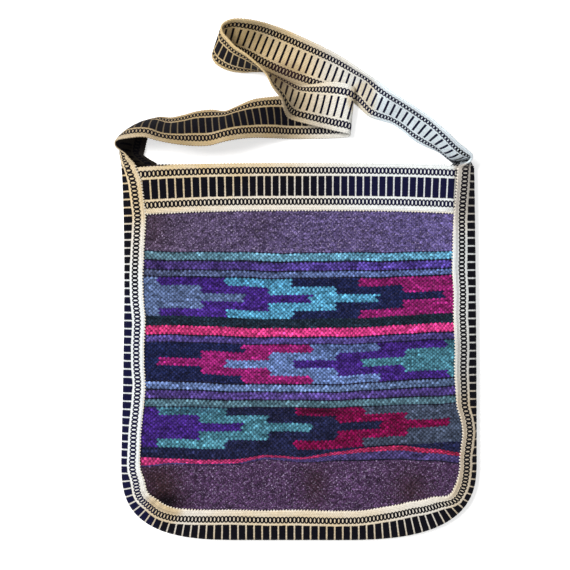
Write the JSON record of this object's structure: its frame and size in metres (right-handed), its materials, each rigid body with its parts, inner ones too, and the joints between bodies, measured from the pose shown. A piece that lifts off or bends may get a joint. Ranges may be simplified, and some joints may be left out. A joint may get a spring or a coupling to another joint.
{
  "type": "woven wool shoulder bag",
  "caption": "Flat hand-woven wool shoulder bag with a striped tapestry front, a ladder-patterned band folded round its edge as a gusset and running on as the shoulder strap.",
  "frame": {"origin": "on the floor under the middle of the back panel, with the bag lying on its back", "axes": "+X to the right across the bag, +Y up towards the mouth and the strap, +Z out of the patterned front"},
  "size_m": [0.3612, 0.5176, 0.0472],
  "materials": {
    "front_wool": "weft-faced wool tapestry, mauve heather with stripes and stepped motifs in purple, teal, navy and magenta",
    "back_wool": "weft-faced wool, mauve heather",
    "front_mouth_band": "warp-faced woven band, cream with navy bars and chain rows",
    "back_mouth_band": "warp-faced woven band, cream with navy bars and chain rows",
    "gusset_band": "warp-faced woven band, cream with navy bars and chain rows",
    "shoulder_strap": "warp-faced woven band, patterned face and paler reverse"
  },
  "bodies": {
    "root": {"front_panel": "front_wool", "back_panel": "back_wool", "front_mouth_band": "front_mouth_band", "back_mouth_band": "back_mouth_band", "gusset_band": "gusset_band", "shoulder_strap": "shoulder_strap"}
  },
  "joints": []
}
